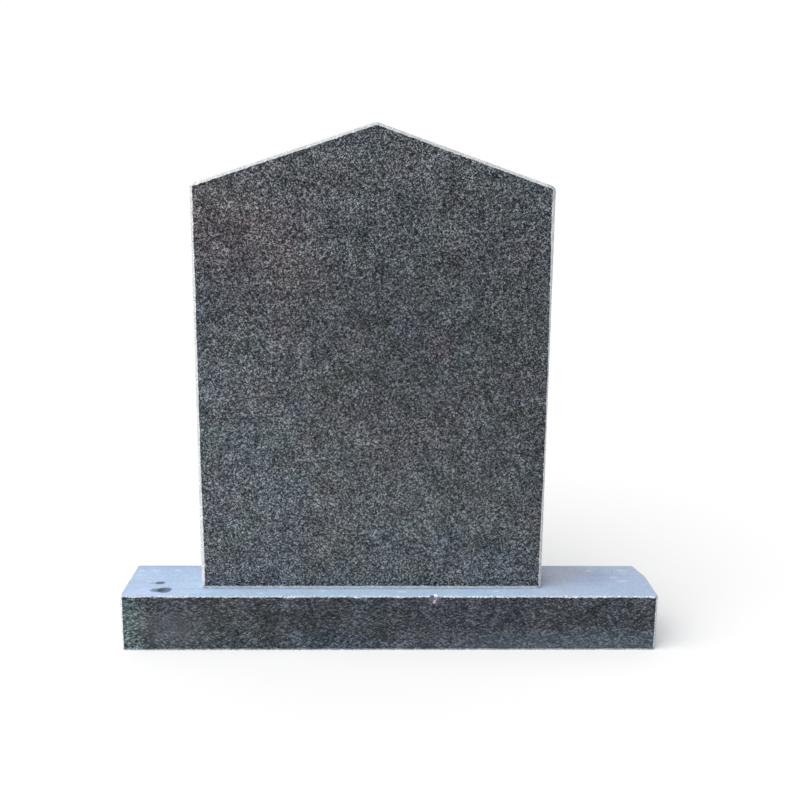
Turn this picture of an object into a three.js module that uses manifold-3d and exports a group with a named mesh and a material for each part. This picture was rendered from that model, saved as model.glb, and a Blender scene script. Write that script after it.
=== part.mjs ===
// Upright granite headstone: a slab with a low peaked top, standing on a long low base.
// Millimetres, +Z up. The origin is on the ground under the middle of the base.
// The polished fronts of both stones face -Y, and +X is to the right as one reads the face.

import * as THREE from 'three';
import { mergeVertices } from 'three/addons/utils/BufferGeometryUtils.js';
import Module from 'manifold-3d';

// Base: a block with an arris on every edge
const BASE_LENGTH = 952;
const BASE_DEPTH = 152;
const BASE_HEIGHT = 102;
const BASE_ARRIS = 4;

// Tablet: a slab with parallel sides and a gable, whose peak stands slightly right of the middle
const TABLET_WIDTH = 610;
const TABLET_THICKNESS = 76;
const SHOULDER_HEIGHT = 710;
const GABLE_RISE = 103;
const PEAK_OFFSET = 5;
const TABLET_ARRIS = 5;

// Easing of the polished face's upper corners. The stone's outside corners are wider by the arris.
const LEFT_SHOULDER_RADIUS = 1.5;
const RIGHT_SHOULDER_RADIUS = 5;
const PEAK_RADIUS = 10;

// Where the tablet stands: set left of the base's middle, back from its front edge, on a thin joint
const TABLET_SET_LEFT = 33;
const FRONT_LEDGE = 36;
const BED_JOINT = 0.3;

// Chip knocked out of the base's upper front edge
const CHIP_RIGHT_OF_MIDDLE = 80;
const CHIP_WIDTH = 12;
const CHIP_DROP = 13;
const CHIP_HOLLOW = 4;

// Flake lost from the base's rear right corner
const FLAKE_ALONG_LENGTH = 13;
const FLAKE_ALONG_DEPTH = 52;
const FLAKE_DOWN = 46;
const FLAKE_HOLLOW = 2.5;

// Fineness of the mesh
const ARC_SEGMENTS = 3;
const BREAK_FACET = 5;

const GRANITE_POLISHED = { roughness: 0.25, metalness: 0 };

const wasm = await Module();
wasm.setup();

// A closed geometry as a solid for cutting
function toSolid(geometry) {
  const bare = geometry.clone();
  bare.deleteAttribute('normal');
  bare.deleteAttribute('uv');
  const merged = mergeVertices(bare, 1e-4);
  return new wasm.Manifold(
    new wasm.Mesh({
      numProp: 3,
      vertProperties: new Float32Array(merged.attributes.position.array),
      triVerts: new Uint32Array(merged.index.array),
    }),
  );
}

// A cut solid back as a geometry
function toGeometry(solid) {
  const mesh = solid.getMesh();
  const geometry = new THREE.BufferGeometry();
  geometry.setAttribute('position', new THREE.BufferAttribute(mesh.vertProperties, 3));
  geometry.setIndex(new THREE.BufferAttribute(mesh.triVerts, 1));
  geometry.computeVertexNormals();
  return geometry;
}

// A convex outline, given counterclockwise, whose corners are eased to arcs of their own radius
function easedOutline(corners) {
  const outline = new THREE.Shape();
  corners.forEach((corner, i) => {
    const { point, radius } = corner;
    const before = corners.at(i - 1).point;
    const after = corners[(i + 1) % corners.length].point;
    const back = before.clone().sub(point).normalize();
    const onward = after.clone().sub(point).normalize();
    const halfAngle = Math.acos(back.dot(onward)) / 2;
    const tangent = radius / Math.tan(halfAngle);
    const start = point.clone().addScaledVector(back, tangent);
    const end = point.clone().addScaledVector(onward, tangent);
    const middle = back.clone().add(onward).normalize();
    const centre = point.clone().addScaledVector(middle, radius / Math.sin(halfAngle));
    if (i === 0) {
      outline.moveTo(start.x, start.y);
    }
    if (radius > 0) {
      const startAngle = start.clone().sub(centre).angle();
      const endAngle = end.clone().sub(centre).angle();
      outline.absarc(centre.x, centre.y, radius, startAngle, endAngle, false);
    } else {
      outline.lineTo(point.x, point.y);
    }
  });
  outline.closePath();
  return outline;
}

// An outline given thickness, with a flat arris round both faces inside the stated thickness
function arrisedSlab(outline, thickness, arris) {
  const slab = new THREE.ExtrudeGeometry(outline, {
    depth: thickness - 2 * arris,
    curveSegments: ARC_SEGMENTS,
    bevelEnabled: true,
    bevelSegments: 1,
    bevelThickness: arris,
    bevelSize: arris,
    bevelOffset: -arris,
  });
  slab.translate(0, 0, arris);
  return slab;
}

// A ball that scoops a shallow dish through three points of a stone's surface.
// The dish is deepest, by the hollow, in the middle of the three.
function dishCutter(a, b, c, hollow, outward) {
  const plane = new THREE.Triangle(a, b, c);
  const normal = plane.getNormal(new THREE.Vector3());
  if (normal.dot(outward) < 0) {
    normal.negate();
  }
  const ab = a.distanceTo(b);
  const bc = b.distanceTo(c);
  const ca = c.distanceTo(a);
  const rimRadius = (ab * bc * ca) / (4 * plane.getArea());
  const weightA = bc * bc * (ab * ab + ca * ca - bc * bc);
  const weightB = ca * ca * (ab * ab + bc * bc - ca * ca);
  const weightC = ab * ab * (bc * bc + ca * ca - ab * ab);
  const rimCentre = new THREE.Vector3()
    .addScaledVector(a, weightA)
    .addScaledVector(b, weightB)
    .addScaledVector(c, weightC)
    .divideScalar(weightA + weightB + weightC);
  const radius = (rimRadius * rimRadius + hollow * hollow) / (2 * hollow);
  const ballCentre = rimCentre.addScaledVector(normal, radius - hollow);
  const facet = Math.min(BREAK_FACET, rimRadius / 2);
  const ball = new THREE.IcosahedronGeometry(radius, Math.round(radius / facet));
  ball.translate(ballCentre.x, ballCentre.y, ballCentre.z);
  return toSolid(ball);
}

// Tablet
function tabletGeometry() {
  const half = TABLET_WIDTH / 2;
  const outline = easedOutline([
    { point: new THREE.Vector2(-half, 0), radius: 0 },
    { point: new THREE.Vector2(half, 0), radius: 0 },
    {
      point: new THREE.Vector2(half, SHOULDER_HEIGHT),
      radius: TABLET_ARRIS + RIGHT_SHOULDER_RADIUS,
    },
    {
      point: new THREE.Vector2(PEAK_OFFSET, SHOULDER_HEIGHT + GABLE_RISE),
      radius: TABLET_ARRIS + PEAK_RADIUS,
    },
    {
      point: new THREE.Vector2(-half, SHOULDER_HEIGHT),
      radius: TABLET_ARRIS + LEFT_SHOULDER_RADIUS,
    },
  ]);
  return arrisedSlab(outline, TABLET_THICKNESS, TABLET_ARRIS);
}

// Chip out of the base's upper front edge
function chipCutter() {
  const front = -BASE_DEPTH / 2;
  return dishCutter(
    new THREE.Vector3(CHIP_RIGHT_OF_MIDDLE - CHIP_WIDTH / 2, front, BASE_HEIGHT),
    new THREE.Vector3(CHIP_RIGHT_OF_MIDDLE + CHIP_WIDTH / 2, front, BASE_HEIGHT),
    new THREE.Vector3(CHIP_RIGHT_OF_MIDDLE, front, BASE_HEIGHT - CHIP_DROP),
    CHIP_HOLLOW,
    new THREE.Vector3(0, -1, 0),
  );
}

// Flake off the base's upper rear right corner
function flakeCutter() {
  const right = BASE_LENGTH / 2;
  const rear = BASE_DEPTH / 2;
  return dishCutter(
    new THREE.Vector3(right - FLAKE_ALONG_LENGTH, rear, BASE_HEIGHT),
    new THREE.Vector3(right, rear - FLAKE_ALONG_DEPTH, BASE_HEIGHT),
    new THREE.Vector3(right, rear, BASE_HEIGHT - FLAKE_DOWN),
    FLAKE_HOLLOW,
    new THREE.Vector3(1, 1, 1),
  );
}

// Base
function baseGeometry() {
  const x = BASE_LENGTH / 2;
  const y = BASE_DEPTH / 2;
  const plan = new THREE.Shape([
    new THREE.Vector2(-x + BASE_ARRIS, -y),
    new THREE.Vector2(x - BASE_ARRIS, -y),
    new THREE.Vector2(x, -y + BASE_ARRIS),
    new THREE.Vector2(x, y - BASE_ARRIS),
    new THREE.Vector2(x - BASE_ARRIS, y),
    new THREE.Vector2(-x + BASE_ARRIS, y),
    new THREE.Vector2(-x, y - BASE_ARRIS),
    new THREE.Vector2(-x, -y + BASE_ARRIS),
  ]);
  const block = toSolid(arrisedSlab(plan, BASE_HEIGHT, BASE_ARRIS));
  return toGeometry(block.subtract(chipCutter()).subtract(flakeCutter()));
}

const base = new THREE.Mesh(
  baseGeometry(),
  new THREE.MeshStandardMaterial({ color: 0x484e55, ...GRANITE_POLISHED }),
);
base.name = 'base';

const tablet = new THREE.Mesh(
  tabletGeometry(),
  new THREE.MeshStandardMaterial({ color: 0x53575c, ...GRANITE_POLISHED }),
);
tablet.name = 'tablet';
tablet.rotation.x = Math.PI / 2;
tablet.position.set(
  -TABLET_SET_LEFT,
  -BASE_DEPTH / 2 + FRONT_LEDGE + TABLET_THICKNESS,
  BASE_HEIGHT + BED_JOINT,
);

const headstone = new THREE.Group();
headstone.name = 'headstone';
headstone.add(base, tablet);

export default headstone;
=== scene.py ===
"""A granite headstone: an upright slab with a low peaked top on a long low base.

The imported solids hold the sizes. Here each stone gets its ground edges, its damage and its finishes,
and the scene gets its camera, light and floor. Metres, +Z up, and the polished fronts face -Y.
"""

import logging
import math
import random
from dataclasses import dataclass, replace
from enum import Enum
from itertools import product
from typing import ClassVar, Iterable, Sequence

import bmesh
import bpy
from bmesh.types import BMEdge, BMesh, BMFace, BMVert
from bpy.types import Material, NodeSocket, NodeTree, Object
from mathutils import Matrix, Vector, noise


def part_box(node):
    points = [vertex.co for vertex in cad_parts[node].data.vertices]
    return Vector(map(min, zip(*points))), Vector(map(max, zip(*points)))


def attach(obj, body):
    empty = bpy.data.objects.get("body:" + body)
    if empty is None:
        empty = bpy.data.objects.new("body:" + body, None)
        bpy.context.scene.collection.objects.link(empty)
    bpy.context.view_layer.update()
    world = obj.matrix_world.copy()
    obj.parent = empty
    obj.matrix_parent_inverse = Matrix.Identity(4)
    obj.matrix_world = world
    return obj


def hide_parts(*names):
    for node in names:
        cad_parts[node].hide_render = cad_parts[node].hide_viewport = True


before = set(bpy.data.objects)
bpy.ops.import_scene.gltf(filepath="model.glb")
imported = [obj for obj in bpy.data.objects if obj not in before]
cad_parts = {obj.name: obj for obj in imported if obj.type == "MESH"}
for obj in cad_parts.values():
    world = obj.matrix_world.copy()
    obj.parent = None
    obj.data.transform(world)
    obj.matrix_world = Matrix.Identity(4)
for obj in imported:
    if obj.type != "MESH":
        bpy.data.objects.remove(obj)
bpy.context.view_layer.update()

LOG = logging.getLogger("headstone")
BODY = "root"
TINY = 1e-6

FRONT, BACK = Vector((0, -1, 0)), Vector((0, 1, 0))
LEFT, RIGHT = Vector((-1, 0, 0)), Vector((1, 0, 0))
DOWN, UP = Vector((0, 0, -1)), Vector((0, 0, 1))

Colour = tuple[float, float, float]
Point = tuple[float, float, float]


class Finish(Enum):
    """How a face of a stone is finished. The value is its material's place on the piece."""

    POLISHED = 0
    SAWN_TOP = 1
    SAWN_SIDE = 2
    SAWN_BACK = 3
    GROUND = 4
    BROKEN = 5


# Node trees


class Graph:
    """Adds and joins the nodes of one shader tree."""

    COLUMN = 190

    def __init__(self, tree: NodeTree) -> None:
        """Keeps the tree that the nodes go into.

        Args:
            tree: a material's tree or a group's.
        """
        self.tree = tree

    def add(self, kind: str, **settings: object) -> bpy.types.Node:
        """Adds one node to the right of the last.

        Args:
            kind: the node's type.
            settings: properties to set on it.

        Returns:
            The node.
        """
        node = self.tree.nodes.new(kind)
        node.location = (self.COLUMN * len(self.tree.nodes), 0)
        for name, value in settings.items():
            setattr(node, name, value)
        return node

    def feed(self, socket: NodeSocket, value: object) -> None:
        """Joins an input to another node's output, or sets it to a plain value.

        Args:
            socket: the input.
            value: an output socket, a number, a vector or a colour.
        """
        if isinstance(value, NodeSocket):
            self.tree.links.new(value, socket)
        else:
            socket.default_value = value

    def math(self, operation: str, first: object, second: object = 0.0, clamp: bool = False) -> NodeSocket:
        """Adds a Math node.

        Args:
            operation: what it works out.
            first: its first value.
            second: its second value.
            clamp: whether the result is kept from 0 to 1.

        Returns:
            The result's socket.
        """
        node = self.add("ShaderNodeMath", operation=operation, use_clamp=clamp)
        self.feed(node.inputs[0], first)
        self.feed(node.inputs[1], second)
        return node.outputs[0]

    def vector(self, operation: str, first: object, second: object = (0.0, 0.0, 0.0)) -> NodeSocket:
        """Adds a Vector Math node.

        Args:
            operation: what it works out.
            first: its first vector.
            second: its second vector.

        Returns:
            The result's socket, a value for LENGTH and a vector otherwise.
        """
        node = self.add("ShaderNodeVectorMath", operation=operation)
        self.feed(node.inputs[0], first)
        self.feed(node.inputs[1], second)
        return node.outputs["Value" if operation == "LENGTH" else "Vector"]

    def span(self, value: object, low: object, high: object, to_low: object = 0.0,
             to_high: object = 1.0) -> NodeSocket:
        """Adds a smooth Map Range node.

        Args:
            value: what is mapped.
            low: where the result starts to leave to_low.
            high: where it reaches to_high.
            to_low: the result at and below low.
            to_high: the result at and above high.

        Returns:
            The result's socket.
        """
        node = self.add("ShaderNodeMapRange", interpolation_type="SMOOTHSTEP")
        for name, given in zip(("Value", "From Min", "From Max", "To Min", "To Max"),
                               (value, low, high, to_low, to_high)):
            self.feed(node.inputs[name], given)
        return node.outputs["Result"]

    def blend(self, share: object, under: object, over: object, mode: str = "MIX") -> NodeSocket:
        """Adds a colour Mix node.

        Args:
            share: how much of the upper colour shows.
            under: the lower colour.
            over: the upper colour.
            mode: how they mix.

        Returns:
            The result's socket.
        """
        node = self.add("ShaderNodeMix", data_type="RGBA", blend_type=mode)
        colours = [socket for socket in node.inputs if socket.type == "RGBA"]
        for socket, given in zip((node.inputs["Factor"], *colours), (share, under, over)):
            self.feed(socket, given)
        return next(socket for socket in node.outputs if socket.type == "RGBA")

    def noise(self, where: object, scale: object, detail: float = 2.0) -> bpy.types.Node:
        """Adds a Noise Texture.

        Args:
            where: the place that it is read at.
            scale: how many lumps to a unit.
            detail: how many finer layers it has.

        Returns:
            The node, with its Fac and Color outputs.
        """
        node = self.add("ShaderNodeTexNoise")
        self.feed(node.inputs["Vector"], where)
        self.feed(node.inputs["Scale"], scale)
        node.inputs["Detail"].default_value = detail
        return node

    def cells(self, where: object, scale: object) -> NodeSocket:
        """Adds a Voronoi Texture of random cells.

        Args:
            where: the place that it is read at.
            scale: how many cells to a unit.

        Returns:
            A value that is random from cell to cell.
        """
        node = self.add("ShaderNodeTexVoronoi")
        self.feed(node.inputs["Vector"], where)
        self.feed(node.inputs["Scale"], scale)
        return self.parts(node.outputs["Color"])[0]

    def parts(self, colour: NodeSocket) -> list[NodeSocket]:
        """Splits a colour.

        Args:
            colour: the colour.

        Returns:
            Its red, green and blue.
        """
        node = self.add("ShaderNodeSeparateColor")
        self.feed(node.inputs["Color"], colour)
        return list(node.outputs)

    def turn(self, where: object, angle: object) -> NodeSocket:
        """Turns a place about the Y axis, so within the plane of the polished fronts.

        Args:
            where: the place.
            angle: how far it turns, in radians.

        Returns:
            The turned place.
        """
        node = self.add("ShaderNodeVectorRotate", rotation_type="Y_AXIS")
        self.feed(node.inputs["Vector"], where)
        self.feed(node.inputs["Angle"], angle)
        return node.outputs["Vector"]

    def total(self, terms: Sequence[tuple[object, object]]) -> NodeSocket:
        """Adds values up, each by its own weight.

        Args:
            terms: each value with its weight.

        Returns:
            The sum's socket.
        """
        result = 0.0
        for value, weight in terms:
            node = self.add("ShaderNodeMath", operation="MULTIPLY_ADD")
            for socket, given in zip(node.inputs, (value, weight, result)):
                self.feed(socket, given)
            result = node.outputs[0]
        return result

    def place(self, tree: NodeTree, **inputs: object) -> bpy.types.Node:
        """Places a node group.

        Args:
            tree: the group's tree.
            inputs: values or sockets for its inputs, whose names have spaces for underscores.

        Returns:
            The group's node.
        """
        node = self.add("ShaderNodeGroup")
        node.node_tree = tree
        for name, value in inputs.items():
            self.feed(node.inputs[name.replace("_", " ")], value)
        return node


class Effects:
    """The shader groups that several finishes share, each built once.

    A scale is how many lumps or cells there are to one grain, and a share is its part in the whole.
    """

    FLOAT, VECTOR, COLOUR = "NodeSocketFloat", "NodeSocketVector", "NodeSocketColor"
    MIDDLE = (0.5, 0.5, 0.5)
    JAG_SCALE, JAG_DETAIL, JAG = 1.3, 4.0, 1.2
    CRYSTALS = ((1.0, 0.42), (2.3, 0.22))
    CLOUD_SCALE, CLOUD_SHARE = 0.27, 0.24
    LATH_TURNS = (0.65, -0.9)
    LATH_SHAPE = (0.40, 1.0, 1.45)
    LATH_SCALE, LATH_SHARE = 1.15, 0.17
    DARK_TONES, PALE_TONES = (0.34, 0.54), (0.62, 0.91)
    WIDE_SCALE, WIDE_SHARE = 0.17, 0.35
    FACET_SHARE = 0.3
    RIPPLE_SCALE = 1.6

    def __init__(self) -> None:
        """Builds every group."""
        self.crystals = self.build_crystals()
        self.drift = self.build_drift()
        self.saw_marks = self.build_saw_marks()
        self.grit = self.build_grit()
        self.blot = self.build_blot()

    def start(self, name: str, inputs: dict[str, str],
              outputs: dict[str, str]) -> tuple[Graph, bpy.types.Node, bpy.types.Node]:
        """Starts a group with its named sockets.

        Args:
            name: the group's name.
            inputs: its inputs' names and socket types.
            outputs: its outputs' names and socket types.

        Returns:
            The group's graph, its input node and its output node.
        """
        tree = bpy.data.node_groups.new(name, "ShaderNodeTree")
        for label, kind in inputs.items():
            tree.interface.new_socket(label, in_out="INPUT", socket_type=kind)
        for label, kind in outputs.items():
            tree.interface.new_socket(label, in_out="OUTPUT", socket_type=kind)
        graph = Graph(tree)
        return graph, graph.add("NodeGroupInput"), graph.add("NodeGroupOutput")

    def build_crystals(self) -> NodeTree:
        """Builds the speckle of granite: jagged crystals and thin laths, some near black and some pale.

        Returns:
            The group's tree.
        """
        graph, given, made = self.start(
            "Granite crystals",
            {"Vector": self.VECTOR, "Grain": self.FLOAT, "Streak": self.FLOAT, "Dark": self.COLOUR,
             "Body": self.COLOUR, "Pale": self.COLOUR},
            {"Color": self.COLOUR, "Tone": self.FLOAT},
        )
        per_metre = graph.math("DIVIDE", 1.0, given.outputs["Grain"])
        stretch = graph.add("ShaderNodeCombineXYZ")
        graph.feed(stretch.inputs["X"], graph.math("DIVIDE", per_metre, given.outputs["Streak"]))
        graph.feed(stretch.inputs["Y"], per_metre)
        graph.feed(stretch.inputs["Z"], per_metre)
        scaled = graph.vector("MULTIPLY", given.outputs["Vector"], stretch.outputs["Vector"])
        jags = graph.noise(scaled, self.JAG_SCALE, self.JAG_DETAIL).outputs["Color"]
        jags = graph.vector("MULTIPLY", graph.vector("SUBTRACT", jags, self.MIDDLE), (self.JAG,) * 3)
        jagged = graph.vector("ADD", scaled, jags)
        terms = [(graph.cells(jagged, scale), share) for scale, share in self.CRYSTALS]
        terms.append((graph.noise(scaled, self.CLOUD_SCALE, 1.0).outputs["Fac"], self.CLOUD_SHARE))
        for angle in self.LATH_TURNS:
            lath = graph.vector("MULTIPLY", graph.turn(jagged, angle), self.LATH_SHAPE)
            terms.append((graph.cells(lath, self.LATH_SCALE), self.LATH_SHARE))
        tone = graph.total(terms)
        colour = graph.blend(graph.span(tone, *self.DARK_TONES), given.outputs["Dark"], given.outputs["Body"])
        colour = graph.blend(graph.span(tone, *self.PALE_TONES), colour, given.outputs["Pale"])
        graph.feed(made.inputs["Color"], colour)
        graph.feed(made.inputs["Tone"], tone)
        return graph.tree

    def build_drift(self) -> NodeTree:
        """Builds a slow drift across a face: paler and darker, and more slowly warmer and cooler.

        Returns:
            The group's tree.
        """
        graph, given, made = self.start(
            "Colour drift",
            {"Color": self.COLOUR, "Vector": self.VECTOR, "Size": self.FLOAT, "Depth": self.FLOAT,
             "Hue Size": self.FLOAT, "Warmth": self.FLOAT, "Chill": self.FLOAT},
            {"Color": self.COLOUR},
        )
        scale = graph.math("DIVIDE", 1.0, given.outputs["Size"])
        hue_scale = graph.math("DIVIDE", 1.0, given.outputs["Hue Size"])
        swing = graph.noise(given.outputs["Vector"], scale, 3.0).outputs["Fac"]
        swing = graph.math("SUBTRACT", swing, 0.5)
        hue = graph.vector("SUBTRACT", graph.noise(given.outputs["Vector"], hue_scale).outputs["Color"],
                           self.MIDDLE)
        red, _, blue = graph.parts(hue)
        level = graph.total([(swing, given.outputs["Depth"]), (1.0, 1.0)])
        factor = graph.add("ShaderNodeCombineXYZ")
        graph.feed(factor.inputs["X"], graph.total([(red, given.outputs["Warmth"]), (level, 1.0)]))
        graph.feed(factor.inputs["Y"], level)
        graph.feed(factor.inputs["Z"], graph.total([(blue, given.outputs["Chill"]), (level, 1.0)]))
        graph.feed(made.inputs["Color"],
                   graph.vector("MULTIPLY", given.outputs["Color"], factor.outputs["Vector"]))
        return graph.tree

    def build_saw_marks(self) -> NodeTree:
        """Builds the scoring that a saw leaves: long faint lines that run the way Along is small.

        Returns:
            The group's tree.
        """
        graph, given, made = self.start(
            "Saw marks",
            {"Vector": self.VECTOR, "Along": self.VECTOR, "Pitch": self.FLOAT},
            {"Height": self.FLOAT},
        )
        scale = graph.math("DIVIDE", 1.0, given.outputs["Pitch"])
        squeezed = graph.vector("MULTIPLY", given.outputs["Vector"], given.outputs["Along"])
        fine = graph.noise(squeezed, scale, 3.0).outputs["Fac"]
        wide = graph.noise(squeezed, graph.math("MULTIPLY", scale, self.WIDE_SCALE), 1.0).outputs["Fac"]
        graph.feed(made.inputs["Height"], graph.blend(self.WIDE_SHARE, fine, wide))
        return graph.tree

    def build_grit(self) -> NodeTree:
        """Builds the fine crushed texture of stone that has been ground or broken.

        Returns:
            The group's tree.
        """
        graph, given, made = self.start(
            "Crushed grit", {"Vector": self.VECTOR, "Grain": self.FLOAT}, {"Height": self.FLOAT}
        )
        scale = graph.math("DIVIDE", 1.0, given.outputs["Grain"])
        lumps = graph.noise(given.outputs["Vector"], scale, 4.0).outputs["Fac"]
        facets = graph.cells(given.outputs["Vector"], scale)
        graph.feed(made.inputs["Height"], graph.total([(lumps, 1.0), (facets, self.FACET_SHARE)]))
        return graph.tree

    def build_blot(self) -> NodeTree:
        """Builds one soft-edged patch at a place on a face.

        Returns:
            The group's tree.
        """
        graph, given, made = self.start(
            "Blot",
            {"Vector": self.VECTOR, "Centre": self.VECTOR, "Reach": self.VECTOR, "Edge": self.FLOAT,
             "Ripple": self.FLOAT, "Turn": self.FLOAT},
            {"Mask": self.FLOAT},
        )
        offset = graph.vector("SUBTRACT", given.outputs["Vector"], given.outputs["Centre"])
        offset = graph.vector("DIVIDE", graph.turn(offset, given.outputs["Turn"]), given.outputs["Reach"])
        ripple = graph.math("SUBTRACT", graph.noise(offset, self.RIPPLE_SCALE, 3.0).outputs["Fac"], 0.5)
        ripple = graph.math("MULTIPLY", ripple, given.outputs["Ripple"])
        away = graph.math("ADD", graph.vector("LENGTH", offset), ripple)
        inner = graph.math("SUBTRACT", 1.0, given.outputs["Edge"])
        outer = graph.math("ADD", 1.0, given.outputs["Edge"])
        graph.feed(made.inputs["Mask"], graph.span(away, inner, outer, 1.0, 0.0))
        return graph.tree


# Finishes


@dataclass(frozen=True)
class Blot:
    """A patch of another colour: where it lies, how far it reaches each way and what it does."""

    centre: Point
    reach: Point
    colour: Colour
    share: float = 1.0
    edge: float = 0.5
    ripple: float = 0.8
    turn: float = 0.0

    @classmethod
    def on_front(cls, front: float, deep: float, rows: Sequence[Sequence]) -> tuple["Blot", ...]:
        """Makes the patches on an upright front.

        Args:
            front: where the front stands on the Y axis.
            deep: how far each patch reaches before and behind it.
            rows: each patch's x and z, its half width and half height, its colour and what follows that.

        Returns:
            The patches.
        """
        return tuple(cls((x, front, z), (wide, deep, high), *rest) for x, z, wide, high, *rest in rows)

    @classmethod
    def on_top(cls, top: float, deep: float, rows: Sequence[Sequence]) -> tuple["Blot", ...]:
        """Makes the patches on a level top.

        Args:
            top: how high the top lies.
            deep: how far each patch reaches above and below it.
            rows: each patch's x and y, its half width and half depth, its colour and what follows that.

        Returns:
            The patches.
        """
        return tuple(cls((x, y, top), (wide, far, deep), *rest) for x, y, wide, far, *rest in rows)

    def lay(self, graph: Graph, effects: Effects, where: NodeSocket, colour: NodeSocket,
            mode: str) -> NodeSocket:
        """Lays the patch over a colour.

        Args:
            graph: the material's graph.
            effects: the shared groups.
            where: the object coordinates.
            colour: what the patch lies on.
            mode: how the patch's colour mixes with it.

        Returns:
            The colour with the patch.
        """
        mask = graph.place(effects.blot, Vector=where, Centre=self.centre, Reach=self.reach, Edge=self.edge,
                           Ripple=self.ripple, Turn=self.turn).outputs["Mask"]
        return graph.blend(graph.math("MULTIPLY", mask, self.share), colour, (*self.colour, 1), mode)


def new_material(name: str) -> tuple[Material, Graph, bpy.types.Node, NodeSocket]:
    """Starts a material with a Principled shader and object coordinates.

    Args:
        name: the material's name.

    Returns:
        The material, its graph, the Principled node and the object coordinates.
    """
    material = bpy.data.materials.new(name)
    material.use_nodes = True
    graph = Graph(material.node_tree)
    shader = material.node_tree.nodes["Principled BSDF"]
    where = graph.add("ShaderNodeTexCoord").outputs["Object"]
    return material, graph, shader, where


def raise_bump(graph: Graph, shader: bpy.types.Node, height: NodeSocket, depth: float) -> None:
    """Feeds a height to the shader's normal through a Bump node.

    Args:
        graph: the material's graph.
        shader: the Principled node.
        height: the height, from about 0 to 1.
        depth: how deep that is, in metres.
    """
    bump = graph.add("ShaderNodeBump")
    bump.inputs["Distance"].default_value = depth
    graph.feed(bump.inputs["Height"], height)
    graph.feed(shader.inputs["Normal"], bump.outputs["Normal"])


@dataclass(frozen=True)
class PolishedGranite:
    """A polished face: dark crystals under a gloss, with a slow drift of hue, tinted patches, scratches, and
    patches of painted reflection and painted shade, its haze among them.
    """

    grain: float
    streak: float
    dark: Colour
    body: Colour
    pale: Colour
    depth: float
    warmth: float
    chill: float
    blots: tuple[Blot, ...] = ()
    marks: tuple[Blot, ...] = ()
    drift_size: float = 0.04
    hue_size: float = 0.10
    roughness: float = 0.2
    gloss: float = 0.15

    def material(self, name: str, effects: Effects) -> Material:
        """Makes the finish.

        Args:
            name: the material's name.
            effects: the shared groups.

        Returns:
            The material.
        """
        material, graph, shader, where = new_material(name)
        crystals = graph.place(effects.crystals, Vector=where, Grain=self.grain, Streak=self.streak,
                               Dark=(*self.dark, 1), Body=(*self.body, 1), Pale=(*self.pale, 1))
        colour = graph.place(effects.drift, Color=crystals.outputs["Color"], Vector=where,
                             Size=self.drift_size, Depth=self.depth, Hue_Size=self.hue_size,
                             Warmth=self.warmth, Chill=self.chill).outputs["Color"]
        for blot in self.blots:
            colour = blot.lay(graph, effects, where, colour, "MULTIPLY")
        for mark in self.marks:
            colour = mark.lay(graph, effects, where, colour, "MIX")
        graph.feed(shader.inputs["Base Color"], colour)
        shader.inputs["Roughness"].default_value = self.roughness
        shader.inputs["Specular IOR Level"].default_value = self.gloss
        return material


@dataclass(frozen=True)
class SawnGranite:
    """A sawn face: pale and dull, with faint crystals, saw lines, smears, stains, and patches of painted
    light and painted shade.
    """

    grain: float
    dark: Colour
    body: Colour
    pale: Colour
    depth: float
    hue: float
    along: Point
    blots: tuple[Blot, ...] = ()
    damp_and_shade: tuple[Blot, ...] = ()
    drift_size: float = 0.06
    saw_pitch: float = 0.0035
    saw_depth: float = 0.00012
    line_share: float = 0.16
    roughness: float = 0.75

    def material(self, name: str, effects: Effects) -> Material:
        """Makes the finish.

        Args:
            name: the material's name.
            effects: the shared groups.

        Returns:
            The material.
        """
        material, graph, shader, where = new_material(name)
        crystals = graph.place(effects.crystals, Vector=where, Grain=self.grain, Streak=1.0,
                               Dark=(*self.dark, 1), Body=(*self.body, 1), Pale=(*self.pale, 1))
        lines = graph.place(effects.saw_marks, Vector=where, Along=self.along, Pitch=self.saw_pitch)
        shade = graph.span(lines.outputs["Height"], 0.3, 0.7, 1 - self.line_share, 1 + self.line_share)
        colour = graph.vector("SCALE", crystals.outputs["Color"])
        graph.feed(colour.node.inputs["Scale"], shade)
        colour = graph.place(effects.drift, Color=colour, Vector=where, Size=self.drift_size,
                             Depth=self.depth, Hue_Size=self.drift_size, Warmth=self.hue,
                             Chill=self.hue).outputs["Color"]
        for blot in self.blots:
            colour = blot.lay(graph, effects, where, colour, "MIX")
        # Multiplied patches: wet stains, and painted light and painted shade.
        for blot in self.damp_and_shade:
            colour = blot.lay(graph, effects, where, colour, "MULTIPLY")
        graph.feed(shader.inputs["Base Color"], colour)
        shader.inputs["Roughness"].default_value = self.roughness
        raise_bump(graph, shader, lines.outputs["Height"], self.saw_depth)
        return material


@dataclass(frozen=True)
class RoughGranite:
    """Ground or broken stone: the crystals show pale and crushed."""

    grain: float
    dark: Colour
    body: Colour
    pale: Colour
    depth: float
    grit: float
    grit_depth: float
    blots: tuple[Blot, ...] = ()
    drift_size: float = 0.02
    roughness: float = 0.8

    def material(self, name: str, effects: Effects) -> Material:
        """Makes the finish.

        Args:
            name: the material's name.
            effects: the shared groups.

        Returns:
            The material.
        """
        material, graph, shader, where = new_material(name)
        crystals = graph.place(effects.crystals, Vector=where, Grain=self.grain, Streak=1.0,
                               Dark=(*self.dark, 1), Body=(*self.body, 1), Pale=(*self.pale, 1))
        colour = graph.place(effects.drift, Color=crystals.outputs["Color"], Vector=where,
                             Size=self.drift_size, Depth=self.depth, Hue_Size=self.drift_size, Warmth=0.0,
                             Chill=0.0).outputs["Color"]
        for blot in self.blots:
            colour = blot.lay(graph, effects, where, colour, "MULTIPLY")
        grit = graph.place(effects.grit, Vector=where, Grain=self.grit)
        graph.feed(shader.inputs["Base Color"], colour)
        shader.inputs["Roughness"].default_value = self.roughness
        raise_bump(graph, shader, grit.outputs["Height"], self.grit_depth)
        return material


# Working the stone


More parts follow.
